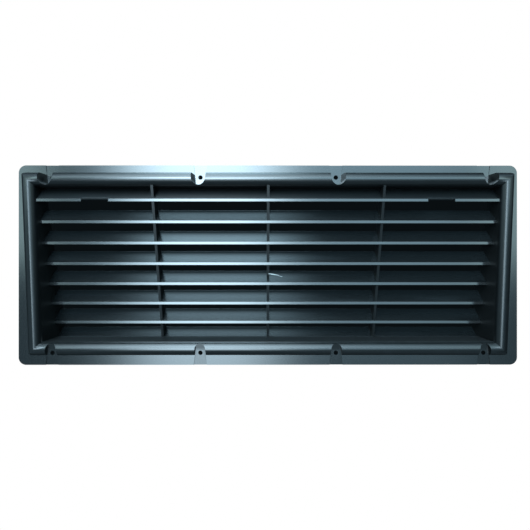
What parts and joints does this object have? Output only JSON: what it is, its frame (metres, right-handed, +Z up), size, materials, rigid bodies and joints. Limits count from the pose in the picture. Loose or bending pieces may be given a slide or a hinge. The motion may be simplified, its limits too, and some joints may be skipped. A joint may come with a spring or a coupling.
{
  "type": "ventilation grille",
  "caption": "Moulded rectangular louvre vent grille: a flange with screw recesses, a raised half-round bezel and recessed, raked blades joined by upright ribs.",
  "frame": {"origin": "middle of the opening, in the plane of the wall that the flange lies against", "axes": "-Y out of the wall towards the viewer, +Y into the wall, +Z up, towards the shallow end of the sleeve, +X to the right as seen from the front of the grille"},
  "size_m": [0.5, 0.0874, 0.2],
  "materials": {
    "black_plastic": "glossy moulded, lightly scuffed"
  },
  "bodies": {
    "root": {"louvre_grille": "black_plastic"}
  },
  "joints": []
}
